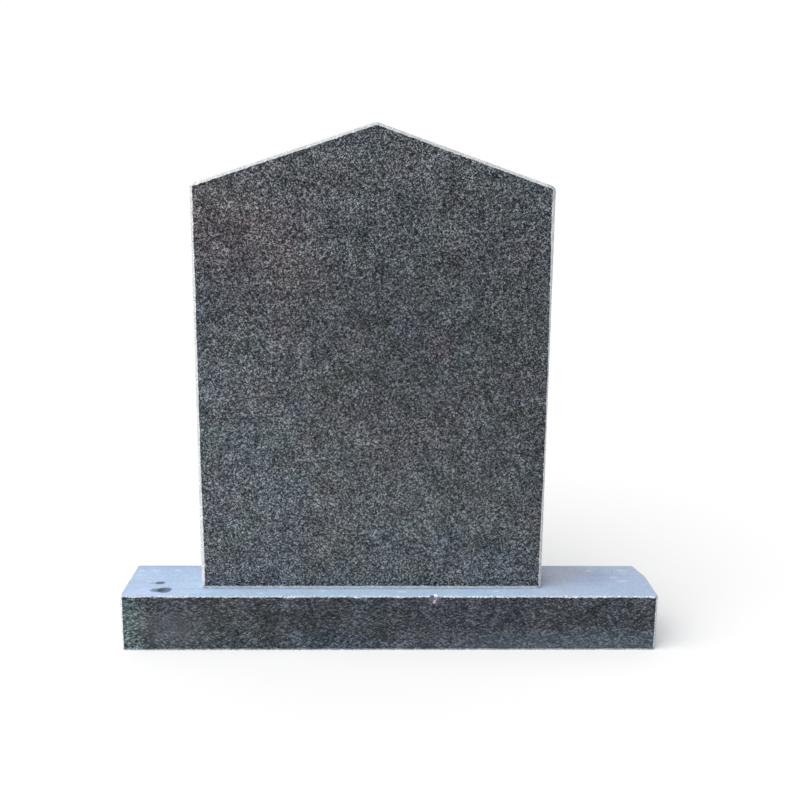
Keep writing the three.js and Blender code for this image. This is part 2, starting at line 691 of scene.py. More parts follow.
@dataclass(frozen=True)
class Ball:
    """A ball that scoops stone away where it reaches in."""

    centre: Vector
    radius: float

    @classmethod
    def through(cls, rim: Sequence[Vector], hollow: float, outward: Vector) -> "Ball":
        """Finds the ball whose dish passes through three points of the surface.

        Args:
            rim: the three points.
            hollow: how deep the dish is between them.
            outward: roughly the way out of the stone.

        Returns:
            The ball.
        """
        a, b, c = rim
        normal = (b - a).cross(c - a).normalized()
        if normal.dot(outward) < 0:
            normal.negate()
        across = (b - a).length * (c - b).length * (a - c).length
        rim_radius = across / (2 * (b - a).cross(c - a).length)
        weights = []
        for p, q, r in ((a, b, c), (b, c, a), (c, a, b)):
            facing, beside = (q - r).length_squared, (p - r).length_squared + (p - q).length_squared
            weights.append(facing * (beside - facing))
        centre = (a * weights[0] + b * weights[1] + c * weights[2]) / sum(weights)
        radius = (rim_radius ** 2 + hollow ** 2) / (2 * hollow)
        return cls(centre + normal * (radius - hollow), radius)


STRAIGHT = (0.0, 0.0)


@dataclass(frozen=True)
class Arris:
    """The ground edge between two faces of a stone, and how unevenly it was ground.

    The sway is how much further the first face's rim lies into its face, at even steps along the edge.
    """

    SLACK: ClassVar[float] = 0.1
    SPAN: ClassVar[float] = 1.6

    start: Vector
    end: Vector
    first: Vector
    second: Vector
    width: float
    spacing: float
    wander: float = 0.0003
    ragged: float = 0.0
    bites: int = 0
    bite_radius: float = 0.0018
    spread: float = 1.0
    sway: tuple[float, ...] = STRAIGHT

    def swayed(self, share: float) -> float:
        """Reads how far the first face's rim lies from its even course.

        Args:
            share: how far along the edge, from 0 to 1.

        Returns:
            How much further into the face it lies.
        """
        place = share * (len(self.sway) - 1)
        step = min(max(int(place), 0), len(self.sway) - 2)
        return self.sway[step] + (self.sway[step + 1] - self.sway[step]) * (place - step)

    def locate(self, point: Vector) -> tuple[float, float, float]:
        """Places a point against the sharp edge as it was before grinding.

        Args:
            point: the point.

        Returns:
            How far it lies along the edge, below the first face and below the second.
        """
        offset = point - self.start
        along = (self.end - self.start).normalized()
        return offset.dot(along), -offset.dot(self.first), -offset.dot(self.second)

    def covers(self, point: Vector) -> bool:
        """Says whether a point lies in the strip that the grinding made.

        Args:
            point: the point.

        Returns:
            Whether it does.
        """
        along, first, second = self.locate(point)
        length = (self.end - self.start).length
        slack = self.SLACK * self.width
        inside = -slack < first and -slack < second and first + second < self.SPAN * self.width
        return inside and -slack < along < length + slack

    def holds(self, edge: BMEdge, inset: float) -> bool:
        """Says whether a mesh edge lies in the strip, clear of its two ends.

        Args:
            edge: the mesh edge.
            inset: how much of each end is left out.

        Returns:
            Whether it does.
        """
        length = (self.end - self.start).length
        slack = 1e-5
        return all(self.covers(v.co) and inset - slack < self.locate(v.co)[0] < length - inset + slack
                   for v in edge.verts)

    def runs_with(self, edge: BMEdge) -> bool:
        """Says whether a mesh edge is parallel to this one.

        Args:
            edge: the mesh edge.

        Returns:
            Whether it is.
        """
        along = (self.end - self.start).normalized()
        direction = edge.verts[1].co - edge.verts[0].co
        return direction.length > TINY and direction.normalized().cross(along).length < 1e-3


class Mason:
    """Works one stone's mesh: grinds its edges, knocks its corners and marks its finishes.

    Lumps are how many lumps of noise there are to a metre. A pair that a bite draws from is its lowest
    and highest value.
    """

    EASING = 0.0004
    CREASE = math.radians(25)
    SHARP = math.radians(35)
    BROAD = 5e-5
    INSET = 0.010
    FADE = 0.008
    SLOW_LUMPS, QUICK_LUMPS = (45, 110), (240, 520)
    NARROW_SHARE, FINE_SHARE = 0.5, 0.9
    LANES = (0.0, 7.0)
    BITE_SIZES, BITE_DEPTHS, BITE_HEIGHTS = (0.6, 1.5), (0.55, 1.0), (0.25, 0.6)
    BITE_ENDS = (0.01, 0.99)
    BITE_ROUGH, BITE_LUMPS = 0.15, 900
    FOOT_REACH = 0.006
    FACING = 0.9999

    def __init__(self, mesh: BMesh, seed: int) -> None:
        """Keeps the mesh and the stone's own random numbers.

        Args:
            mesh: the stone's mesh.
            seed: what the random numbers start from.
        """
        self.mesh = mesh
        self.netted: set[BMVert] = set()
        self.random = random.Random(seed)
        self.shift = Vector((self.random.uniform(0, 50) for _ in range(3)))

    def bevel(self, edges: Iterable[BMEdge], width: float, segments: int = 1) -> None:
        """Bevels mesh edges.

        Args:
            edges: the edges.
            width: how far the bevel reaches on each face.
            segments: how many strips it has.
        """
        bmesh.ops.bevel(self.mesh, geom=list(edges), offset=width, offset_type="OFFSET", segments=segments,
                        profile=0.5, affect="EDGES", material=-1)

    def ease_creases(self) -> None:
        """Takes the sharpness off every crease."""
        sharp = [e for e in self.mesh.edges if e.calc_face_angle(0) > self.CREASE]
        self.bevel(sharp, self.EASING, 2)

    def divide(self, arrises: Iterable[Arris], across: int) -> None:
        """Cuts each ground strip into short lengths and narrow widths, so that it can be worked.

        Args:
            arrises: the ground edges.
            across: how many cuts run along each strip.
        """
        for arris in arrises:
            self.part_ends(arris)
            spans = [e for e in self.mesh.edges
                     if e.calc_length() > 0.5 * arris.width and arris.holds(e, self.INSET)
                     and not arris.runs_with(e)]
            bmesh.ops.subdivide_edges(self.mesh, edges=spans, cuts=across, use_grid_fill=True)
            beside = [e for e in self.mesh.edges
                      if e.calc_length() > 3 * arris.width and arris.holds(e, self.INSET)
                      and arris.runs_with(e)]
            cuts = max(1, round(beside[0].calc_length() / arris.spacing) - 1)
            bmesh.ops.subdivide_edges(self.mesh, edges=beside, cuts=cuts, use_grid_fill=True)

    def part_ends(self, arris: Arris) -> None:
        """Cuts a ground strip square near its ends, so that plain four-sided faces lie between.

        Args:
            arris: the ground edge.
        """
        along = (arris.end - arris.start).normalized()
        for place in (arris.start + along * self.INSET, arris.end - along * self.INSET):
            faces = [f for f in self.mesh.faces if all(arris.covers(v.co) for v in f.verts)]
            bmesh.ops.bisect_plane(self.mesh, geom=self.bounded(faces), dist=TINY, plane_co=place,
                                   plane_no=along)

    def bounded(self, faces: Sequence[BMFace]) -> list:
        """Lists faces with their edges and vertices, each once.

        Args:
            faces: the faces.

        Returns:
            The vertices, edges and faces.
        """
        verts = dict.fromkeys(v for f in faces for v in f.verts)
        edges = dict.fromkeys(e for f in faces for e in f.edges)
        return [*verts, *edges, *faces]

    def held(self) -> dict[BMVert, Vector]:
        """Finds the vertices that a broad flat face keeps in its plane.

        Returns:
            Each such vertex with the face's normal.
        """
        return {v: f.normal.copy() for f in self.mesh.faces if f.calc_area() > self.BROAD for v in f.verts}

    def wander(self, arrises: Iterable[Arris]) -> None:
        """Lets each ground strip's two rims wander, as grinding by hand leaves them.

        Args:
            arrises: the ground edges.
        """
        for arris in arrises:
            length = (arris.end - arris.start).length
            for vert in self.mesh.verts:
                if vert in self.netted or not arris.covers(vert.co):
                    continue
                along, first, second = arris.locate(vert.co)
                fade = min(1.0, max(0.0, min(along, length - along) - arris.width) / self.FADE)
                share = min(1.0, max(0.0, first / max(first + second, 0.001 * TINY)))
                place = vert.co.copy()
                beside = arris.start + (arris.end - arris.start) * along / length
                to_first, to_second = (self.rim(arris, beside, lane) for lane in self.LANES)
                to_first = arris.spread * to_first + arris.swayed(along / length)
                place -= arris.second * (fade * (1 - share) * to_first)
                place -= arris.first * (fade * share * to_second)
                vert.co = place

    def rim(self, arris: Arris, place: Vector, lane: float) -> float:
        """Works out how far one rim of a ground strip strays.

        Args:
            arris: the ground edge.
            place: a point along it.
            lane: which rim it is, as an offset in the noise.

        Returns:
            How far the rim moves into its face.
        """
        shifted = place + self.shift + Vector((lane, 0, 0))
        broad, narrow = (noise.noise(shifted * lumps) for lumps in self.SLOW_LUMPS)
        coarse, fine = (max(0.0, noise.noise(shifted * lumps)) for lumps in self.QUICK_LUMPS)
        slow, quick = broad + self.NARROW_SHARE * narrow, coarse + self.FINE_SHARE * fine
        return arris.wander * slow + arris.ragged * quick

    def bite(self, arrises: Iterable[Arris], held: dict[BMVert, Vector]) -> None:
        """Takes the small bites out of each ground edge that handling leaves.

        Args:
            arrises: the ground edges.
            held: the vertices that stay in a broad face's plane.
        """
        for arris in arrises:
            strip = [v for v in self.mesh.verts if arris.covers(v.co) and v not in self.netted]
            span = arris.end - arris.start
            for _ in range(arris.bites):
                radius = arris.bite_radius * self.random.uniform(*self.BITE_SIZES)
                side, away = self.random.choice(((arris.first, arris.second), (arris.second, arris.first)))
                centre = arris.start + span * self.random.uniform(*self.BITE_ENDS)
                centre -= away * arris.width * self.random.uniform(*self.BITE_DEPTHS)
                centre += side * radius * self.random.uniform(*self.BITE_HEIGHTS)
                near = [v for v in strip if (v.co - centre).length < (1 + 2 * self.BITE_ROUGH) * radius]
                self.scoop(near, Ball(centre, radius), held, self.BITE_ROUGH, self.BITE_LUMPS)

    def scoop(self, verts: Iterable[BMVert], ball: Ball, held: dict[BMVert, Vector], rough: float,
              lumps: float) -> set[BMVert]:
        """Pushes vertices inside a ball out to its uneven surface.

        Args:
            verts: the vertices that may move.
            ball: the ball.
            held: the vertices that stay in a broad face's plane.
            rough: how uneven the surface is, as a share of the radius.
            lumps: how many lumps to a metre it has.

        Returns:
            The vertices that moved.
        """
        moved = set()
        for vert in verts:
            offset = vert.co - ball.centre
            radius = ball.radius * (1 + rough * noise.noise((vert.co + self.shift) * lumps))
            if offset.length >= radius:
                continue
            if vert in held:
                depth = held[vert] * offset.dot(held[vert])
                flat = offset - depth
                reach = radius ** 2 - depth.length_squared
                if flat.length < 0.1 * TINY or reach <= 0:
                    continue
                vert.co = ball.centre + depth + flat.normalized() * math.sqrt(reach)
            else:
                vert.co = ball.centre + offset.normalized() * radius
            moved.add(vert)
        return moved

    def square_foot(self, low: Vector, high: Vector, arris: float, slope: float) -> None:
        """Stands the front's lowest ground strip nearly upright, all but its ends.

        Args:
            low: the stone's lowest corner.
            high: its highest corner.
            arris: how far the grinding reaches on each face.
            slope: how far back the strip's foot stays, as a share of that.
        """
        reach = arris + self.FOOT_REACH
        for vert in self.mesh.verts:
            behind = vert.co.y - low.y
            if behind > reach or vert.co.z - low.z > reach:
                continue
            inward = min(vert.co.x - low.x, high.x - vert.co.x) - arris
            share = min(1.0, max(0.0, inward / arris))
            vert.co.y = low.y + behind * (1 - share * (1 - slope))

    def net(self, low: Vector, high: Vector, steps: Vector) -> None:
        """Cuts the faces within a box into a fine net.

        Args:
            low: the box's lowest corner.
            high: its highest corner.
            steps: the net's spacing along each axis.
        """
        for axis in range(3):
            for limit in (low[axis], high[axis]):
                self.cut(self.everything(), axis, limit)
        geometry = self.within(low, high)
        for axis in range(3):
            count = max(1, round((high[axis] - low[axis]) / steps[axis]))
            for i in range(1, count):
                geometry = self.cut(geometry, axis, low[axis] + (high[axis] - low[axis]) * i / count)
        self.netted.update(g for g in geometry if isinstance(g, BMVert))

    def everything(self) -> list:
        """Lists the whole mesh."""
        return [*self.mesh.verts, *self.mesh.edges, *self.mesh.faces]

    def within(self, low: Vector, high: Vector) -> list:
        """Lists the faces whose middle lies in a box, with their edges and vertices.

        Args:
            low: the box's lowest corner.
            high: its highest corner.

        Returns:
            The faces, edges and vertices.
        """
        faces = [f for f in self.mesh.faces
                 if all(low[i] - TINY < f.calc_center_median()[i] < high[i] + TINY for i in range(3))]
        return self.bounded(faces)

    def cut(self, geometry: list, axis: int, place: float) -> list:
        """Cuts geometry along a plane square to an axis.

        Args:
            geometry: what is cut.
            axis: the axis's number.
            place: where along it the plane stands.

        Returns:
            What was cut, with what the cut added.
        """
        normal = Vector((0, 0, 0))
        normal[axis] = 1
        result = bmesh.ops.bisect_plane(self.mesh, geom=geometry, dist=TINY, plane_co=normal * place,
                                        plane_no=normal)
        return result["geom"]

    def dress(self, faces_of: dict[Finish, Sequence[Vector]]) -> None:
        """Marks each face with the finish for the way it looks. The rest are ground.

        Args:
            faces_of: for each finish, the directions that its faces look in.
        """
        for face in self.mesh.faces:
            face.material_index = Finish.GROUND.value
            for finish, directions in faces_of.items():
                if any(face.normal.dot(d) > self.FACING for d in directions):
                    face.material_index = finish.value
            face.smooth = face.material_index == Finish.GROUND.value

    def piece(self, name: str, node: str, materials: Sequence[Material]) -> Object:
        """Makes the finished stone an object of the scene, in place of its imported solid.

        Args:
            name: the piece's name.
            node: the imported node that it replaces.
            materials: its finishes, in the order of Finish. One that no face has may be left out at the end.

        Returns:
            The object.
        """
        bmesh.ops.dissolve_degenerate(self.mesh, dist=TINY, edges=self.mesh.edges)
        data = bpy.data.meshes.new(name)
        self.mesh.to_mesh(data)
        self.mesh.free()
        data.set_sharp_from_angle(angle=self.SHARP)
        for material in materials:
            data.materials.append(material)
        stone = bpy.data.objects.new(name, data)
        bpy.context.scene.collection.objects.link(stone)
        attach(stone, BODY)
        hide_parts(node)
        LOG.info("%s: %d faces, %d vertices", name, len(data.polygons), len(data.vertices))
        return stone


# The stones

POLISHED_DARK = (0.003, 0.0035, 0.0045)
LINES_FRONT_TO_BACK = (1.0, 0.04, 1.0)
LINES_BESIDE_FRONT = (0.04, 1.0, 0.04)
LINES_LEVEL = (0.04, 0.04, 1.0)


@dataclass
class Tablet:
    """The upright slab: parallel sides and a low peaked top, with an arris round both faces.

    A pair of values is the front's and then the back's.
    """

    effects: Effects
    shoulder_height: float = 0.710
    gable_rise: float = 0.103
    peak_offset: float = 0.005
    arris: float = 0.0042
    left_shoulder_radius: float = 0.0065
    right_shoulder_radius: float = 0.010
    peak_radius: float = 0.015
    corner_steps: int = 6
    spacings: tuple[float, float] = (0.0010, 0.0026)
    strip_cuts: int = 3
    foot_slope: float = 0.25
    wander: float = 0.0006
    ragged: tuple[float, float] = (0.0013, 0.0012)
    bites: tuple[int, int] = (14, 6)
    bite_radius: float = 0.0015
    right_sway: tuple[float, ...] = (
        0.0, 0.0003, -0.0007, -0.0013, -0.0019, -0.0019, -0.0017, -0.0006, 0.0011, 0.0012,
    )
    left_sway: tuple[float, ...] = (0.0, 0.0, 0.0, 0.0, 0.0, 0.0, 0.0002, 0.0012, 0.0016, 0.0016)
    seed: int = 11

    def corners(self) -> list[Vector]:
        """Works out the sharp corners of the front's outline, counterclockwise from the lower left.

        Returns:
            The five corners.
        """
        low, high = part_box("tablet")
        middle = (low.x + high.x) / 2
        shoulder = low.z + self.shoulder_height
        return [
            Vector((low.x, low.y, low.z)),
            Vector((high.x, low.y, low.z)),
            Vector((high.x, low.y, shoulder)),
            Vector((middle + self.peak_offset, low.y, shoulder + self.gable_rise)),
            Vector((low.x, low.y, shoulder)),
        ]

    def round_corner(self, mesh: BMesh, corner: Vector, radius: float) -> None:
        """Rounds one corner of the flat outline.

        Args:
            mesh: the mesh that holds the outline.
            corner: where the corner is.
            radius: its radius.
        """
        vert = min(mesh.verts, key=lambda v: (v.co - corner).length)
        first, second = (e.other_vert(vert).co - vert.co for e in vert.link_edges)
        reach = radius / math.tan(first.angle(second) / 2)
        bmesh.ops.bevel(mesh, geom=[vert], offset=reach, offset_type="OFFSET", segments=self.corner_steps,
                        profile=0.5, affect="VERTICES", material=-1)

    def arrises(self) -> list[Arris]:
        """Lists the ground edges round the front and the back.

        Returns:
            Ten ground edges, of which the front's are cut finer.
        """
        low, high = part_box("tablet")
        corners = self.corners()
        right, left = 1, 4
        plain = [STRAIGHT] * len(corners)
        swayed = plain.copy()
        swayed[right], swayed[left] = self.right_sway, self.left_sway
        sides = ((FRONT, 0.0, swayed), (BACK, high.y - low.y, plain))
        found = []
        work = zip(sides, self.spacings, self.ragged, self.bites)
        for (face, depth, sways), spacing, ragged, bites in work:
            for start, end, sway in zip(corners, corners[1:] + corners[:1], sways):
                outward = (end - start).cross(FRONT).normalized()
                found.append(Arris(
                    start + BACK * depth, end + BACK * depth, face.copy(), outward, self.arris, spacing,
                    wander=self.wander, ragged=ragged, bites=bites, bite_radius=self.bite_radius, sway=sway,
                ))
        return found

    def build(self) -> Object:
        """Builds the slab.

        Returns:
            The object.
        """
        low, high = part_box("tablet")
        corners = self.corners()
        mesh = bmesh.new()
        mesh.faces.new([mesh.verts.new(corner) for corner in corners])
        for corner, radius in zip(corners[2:], (self.right_shoulder_radius, self.peak_radius,
                                                self.left_shoulder_radius)):
            self.round_corner(mesh, corner, radius)
        front = mesh.faces[:]
        grown = bmesh.ops.extrude_face_region(mesh, geom=front, use_keep_orig=True)["geom"]
        grown = [g for g in grown if isinstance(g, BMVert)]
        bmesh.ops.translate(mesh, vec=BACK * (high.y - low.y), verts=grown)
        bmesh.ops.recalc_face_normals(mesh, faces=mesh.faces)

        mason = Mason(mesh, self.seed)
        rims = [e for e in mesh.edges if abs(e.verts[0].co.y - e.verts[1].co.y) < TINY]
        mason.bevel(rims, self.arris)
        mason.ease_creases()
        arrises = self.arrises()
        mason.divide(arrises, self.strip_cuts)
        foot, right, right_slope, left_slope, left = (a.second for a in arrises[:5])
        mason.dress({Finish.POLISHED: [FRONT], Finish.SAWN_TOP: [right_slope, left_slope],
                     Finish.SAWN_SIDE: [foot, right, left], Finish.SAWN_BACK: [BACK]})
        held = mason.held()
        mason.wander(arrises)
        mason.bite(arrises, held)
        mason.square_foot(low, high, self.arris, self.foot_slope)
        return mason.piece("granite_tablet", "tablet", self.materials())

    def materials(self) -> list[Material]:
        """Makes the slab's finishes, in the order of Finish.

        Returns:
            The materials.
        """
        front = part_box("tablet")[0].y
        polished = PolishedGranite(
            grain=0.0018, streak=1.0, dark=POLISHED_DARK, body=(0.0336, 0.0387, 0.0448),
            pale=(0.284, 0.303, 0.329), depth=1.4, warmth=0.38, chill=0.28, hue_size=0.07, gloss=0.10,
            blots=self.painted_reflections_and_shade(front), marks=self.scratches(front),
        )
        sawn = SawnGranite(grain=0.0022, dark=(0.30, 0.34, 0.37), body=(0.44, 0.48, 0.52),
                           pale=(0.56, 0.60, 0.64), depth=0.35, hue=0.05, along=LINES_FRONT_TO_BACK)
        ground = RoughGranite(grain=0.0022, dark=(0.34, 0.35, 0.36), body=(0.50, 0.515, 0.53),
                              pale=(0.73, 0.745, 0.76), depth=0.20, grit=0.0012, grit_depth=0.0001,
                              blots=self.darker_edges(front))
        return [
            polished.material("tablet_polished", self.effects),
            sawn.material("tablet_sawn_top", self.effects),
            replace(sawn, along=LINES_BESIDE_FRONT).material("tablet_sawn_side", self.effects),
            replace(sawn, along=LINES_LEVEL).material("tablet_sawn_back", self.effects),
            ground.material("tablet_ground", self.effects),
        ]

    def painted_reflections_and_shade(self, front: float) -> tuple[Blot, ...]:
        """Lists the painted reflections and painted shade on the polished face: warm patches, paler and bluer
        patches, and darker patches.

        Args:
            front: where the face stands on the Y axis.

        Returns:
            The patches.
        """
        # Warm patches: painted reflections of something red.
        warm = (1.17, 1.0, 1.01)
        return Blot.on_front(front, 0.05, (
            (-0.310, 0.765, 0.070, 0.070, warm, 0.9, 0.7),
            (-0.205, 0.695, 0.075, 0.080, warm, 0.8, 0.7),
            (0.087, 0.537, 0.030, 0.035, warm, 0.7, 0.7),
            (-0.179, 0.556, 0.026, 0.030, warm, 0.7, 0.7),
            # The rest are painted reflections of the floor and surroundings where paler and bluer, and
            # painted shade where darker.
            (0.240, 0.480, 0.160, 0.270, (0.78, 0.79, 0.80), 1.0, 0.9),
            (0.000, 0.620, 0.140, 0.120, (0.81, 0.82, 0.83), 1.0, 0.9),
            (-0.290, 0.640, 0.075, 0.095, (0.83, 0.85, 0.85), 1.0, 0.9),
            (-0.045, 0.490, 0.130, 0.130, (0.91, 0.91, 0.91), 1.0, 0.9),
            (-0.290, 0.360, 0.150, 0.170, (1.12, 1.16, 1.18), 1.0, 0.9),
            (-0.033, 0.150, 0.380, 0.120, (1.02, 1.09, 1.11), 1.0, 0.9),
            (-0.090, 0.450, 0.190, 0.035, (0.88, 0.88, 0.88), 1.0, 0.7),
            (-0.105, 0.695, 0.040, 0.045, (1.14, 1.13, 1.13), 1.0, 0.7),
            (0.080, 0.645, 0.045, 0.110, (1.12, 1.10, 1.10), 1.0, 0.8),
            (-0.250, 0.150, 0.090, 0.045, (0.88, 0.88, 0.89), 1.0, 0.7),
        ))

    def scratches(self, front: float) -> tuple[Blot, ...]:
        """Lists the two faint scratches on the polished face.

        Args:
            front: where the face stands on the Y axis.

        Returns:
            The patches.
        """
        scratch = (0.17, 0.18, 0.19)
        return Blot.on_front(front, 0.05, (
            (-0.1976, 0.5601, 0.0250, 0.0008, scratch, 0.30, 0.5, 0.3, -0.85),
            (-0.2583, 0.5152, 0.0090, 0.0008, scratch, 0.30, 0.5, 0.3, 1.00),
        ))

    def darker_edges(self, front: float) -> tuple[Blot, ...]:
        """Lists where the front's ground edges are darker: the right shoulder, which is painted shade, the
        slopes, and the foot, which is painted contact shade where the slab stands on the base.

        Args:
            front: where the face stands on the Y axis.

        Returns:
            The patches.
        """
        return Blot.on_front(front, 0.05, (
            # Right shoulder: painted shade.
            (0.270, 0.807, 0.016, 0.014, (0.72, 0.73, 0.74), 1.0, 0.6),
            (-0.030, 0.900, 0.400, 0.085, (0.85, 0.86, 0.87), 1.0, 0.3),
            # Foot: painted contact shade.
            (-0.033, 0.102, 0.400, 0.007, (0.94, 0.93, 0.92), 1.0, 0.3),
        ))


@dataclass
class Base:
    """The long low block under the slab, with a chip in its front edge and a corner knocked off.

    A net is its box's lowest and highest corner, from the chip or the knocked corner, and its spacing.
    A chip's lobe is its place along the edge, out of it and above it, and its radius. A flake's facet is
    how far it reaches along the length, along the depth and down, and how hollow it is.
    """

    effects: Effects
    end_arris: float = 0.0034
    top_arris: float = 0.0011
    foot_arris: float = 0.0024
    foot_slope: float = 0.3
    front_spacing: float = 0.0010
    back_spacing: float = 0.0026
    strip_cuts: int = 2
    front_bites: int = 30
    back_bites: int = 12
    chip_from_middle: float = 0.080
    chip_net: tuple[Point, Point, Point] = ((-0.012, -0.001, -0.018), (0.012, 0.009, 0.001), (0.0008,) * 3)
    flake_net: tuple[Point, Point, Point] = (
        (-0.021, -0.074, -0.056), (0.001, 0.001, 0.001), (0.0012, 0.0015, 0.0015),
    )
    chip_rough: float = 0.30
    chip_lumps: float = 480
    flake_rough: float = 0.0012
    flake_lumps: float = 160
    chip_lobes: tuple[tuple[float, float, float, float], ...] = (
        (0.0005, 0.0045, 0.0000, 0.0080),
        (-0.0010, 0.0045, -0.0055, 0.0064),
        (-0.0015, 0.0035, -0.0100, 0.0047),
        (0.0070, 0.0035, -0.0005, 0.0048),
        (-0.0065, 0.0030, -0.0010, 0.0044),
        (-0.0003, -0.0020, 0.0060, 0.0075),
    )
    flake_facets: tuple[tuple[float, float, float, float], ...] = (
        (0.0120, 0.056, 0.046, 0.0006),
        (0.0050, 0.068, 0.030, 0.0004),
    )
    seed: int = 29

    def arris(self, first: Vector, second: Vector) -> Arris:
        """Describes the ground edge where two faces of the block meet.

        Args:
            first: the way the first face looks.
            second: the way the second looks.

        Returns:
            The ground edge.
        """
        low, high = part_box("base")
        along = first.cross(second)
        along = Vector((abs(along.x), abs(along.y), abs(along.z)))
        start, end = Vector(), Vector()
        for i in range(3):
            if along[i]:
                start[i], end[i] = low[i], high[i]
            else:
                start[i] = end[i] = high[i] if (first + second)[i] > 0 else low[i]
        on_top, on_foot, on_front = (d in (first, second) for d in (UP, DOWN, FRONT))
        width = self.top_arris if on_top else self.foot_arris if on_foot else self.end_arris
        spacing = self.front_spacing if on_front or on_top else self.back_spacing
        even = Arris(start, end, first, second, width, spacing, wander=0.0004, ragged=0.0003)
        if on_top and on_front:
            return replace(even, wander=0.0006, ragged=0.0025, bites=170, bite_radius=0.0014, spread=2.2)
        to_metre = self.front_bites if on_front or on_top else self.back_bites
        return replace(even, bites=round((end - start).length * to_metre))

    def arrises(self) -> list[Arris]:
        """Lists the block's twelve ground edges: the uprights, then the top's and the foot's.

        Returns:
            The ground edges.
        """
        uprights = [self.arris(side, end) for side, end in product((FRONT, BACK), (LEFT, RIGHT))]
        level = [self.arris(face, side) for face, side in product((UP, DOWN), (FRONT, BACK, LEFT, RIGHT))]
        return uprights + level

    def build(self) -> Object:
        """Builds the block.

        Returns:
            The object.
        """
        low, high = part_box("base")
        mesh = bmesh.new()
        size = Matrix.Diagonal((*(high - low), 1))
        bmesh.ops.create_cube(mesh, size=1, matrix=Matrix.Translation((low + high) / 2) @ size)
        mason = Mason(mesh, self.seed)
        uprights = [e for e in mesh.edges if abs(e.verts[0].co.z - e.verts[1].co.z) > TINY]
        mason.bevel(uprights, self.end_arris)
        for height, width in ((high.z, self.top_arris), (low.z, self.foot_arris)):
            ring = [e for e in mesh.edges if all(abs(v.co.z - height) < TINY for v in e.verts)]
            mason.bevel(ring, width)
        mason.ease_creases()
        arrises = self.arrises()
        mason.divide(arrises, self.strip_cuts)

        chip = Vector((self.chip_from_middle, low.y, high.z))
        corner = Vector((high.x, high.y, high.z))
        for place, net in ((chip, self.chip_net), (corner, self.flake_net)):
            nearest, farthest, steps = (Vector(given) for given in net)
            mason.net(place + nearest, place + farthest, steps)
        mason.dress({Finish.POLISHED: [FRONT], Finish.SAWN_TOP: [UP],
                     Finish.SAWN_SIDE: [DOWN, LEFT, RIGHT], Finish.SAWN_BACK: [BACK]})
        held = mason.held()
        mason.wander(arrises)
        mason.bite(arrises, held)
        mason.square_foot(low, high, self.foot_arris, self.foot_slope)
        self.knock(mason, chip, corner)
        return mason.piece("granite_base", "base", self.materials())

    def knock(self, mason: Mason, chip: Vector, corner: Vector) -> None:
        """Knocks the chip out of the front edge and the flake off the rear right corner.

        Args:
            mason: what works the stone.
            chip: the middle of the chip on the sharp front edge.
            corner: the sharp rear right corner.
        """
        moved = set()
        for along, out, up, radius in self.chip_lobes:
            ball = Ball(chip + Vector((along, -out, up)), radius)
            moved |= mason.scoop(mason.mesh.verts, ball, {}, self.chip_rough, self.chip_lumps)
        for length, depth, height, hollow in self.flake_facets:
            rim = [corner + LEFT * length, corner + FRONT * depth, corner + DOWN * height]
            ball = Ball.through(rim, hollow, RIGHT + BACK + UP)
            moved |= mason.scoop(mason.mesh.verts, ball, {}, self.flake_rough, self.flake_lumps)
        for face in mason.mesh.faces:
            if all(v in moved for v in face.verts):
                face.material_index = Finish.BROKEN.value
                face.smooth = True

    def materials(self) -> list[Material]:
        """Makes the base's finishes, in the order of Finish.

        Returns:
            The materials.
        """
        low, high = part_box("base")
        front, top = low.y, high.z
        polished = PolishedGranite(
            grain=0.0021, streak=1.5, dark=POLISHED_DARK, body=(0.0262, 0.0312, 0.0378),
            pale=(0.127, 0.144, 0.166), depth=1.4, warmth=0.45, chill=0.40,
            blots=self.tints_and_reflections(front), marks=self.marks(front, top),
        )
        # The blue-grey of the sides and back is partly painted skylight, milder than the top's.
        sawn = SawnGranite(grain=0.0022, dark=(0.29, 0.345, 0.42), body=(0.39, 0.455, 0.54),
                           pale=(0.48, 0.55, 0.64), depth=0.30, hue=0.05, along=LINES_LEVEL)
        # The top's pale blue is painted skylight: sawn grey stone, made bluer and paler as the sky lights it
        # from above.
        sawn_top = SawnGranite(
            grain=0.0022, dark=(0.300, 0.394, 0.532), body=(0.365, 0.475, 0.635), pale=(0.425, 0.548, 0.720),
            depth=0.24, hue=0.05, along=LINES_BESIDE_FRONT, blots=self.streaks(front, top),
            damp_and_shade=self.damp_and_shade(front, top), line_share=0.03,
        )
        # Painted shade in the notch where the chip cuts the top edge, laid on the ground and broken finishes.
        nick_shade = Blot((0.0735, front, top - 0.001), (0.0042, 0.006, 0.0038), (0.15, 0.16, 0.19), edge=0.4)
        ground = RoughGranite(grain=0.0022, dark=(0.20, 0.215, 0.235), body=(0.42, 0.45, 0.49),
                              pale=(0.78, 0.81, 0.86), depth=0.3, grit=0.0012, grit_depth=0.0001,
                              blots=(*self.soil_and_edge_light(low, high), nick_shade))
        broken = RoughGranite(grain=0.0026, dark=(0.08, 0.085, 0.100), body=(0.32, 0.325, 0.365),
                              pale=(0.88, 0.88, 0.96), depth=0.4, grit=0.0015, grit_depth=0.0003,
                              blots=(nick_shade, *self.chip_colours(front, top)))
        return [
            polished.material("base_polished", self.effects),
            sawn_top.material("base_sawn_top_skylit", self.effects),
            sawn.material("base_sawn_side", self.effects),
            sawn.material("base_sawn_back", self.effects),
            ground.material("base_ground", self.effects),
            broken.material("base_broken", self.effects),
        ]

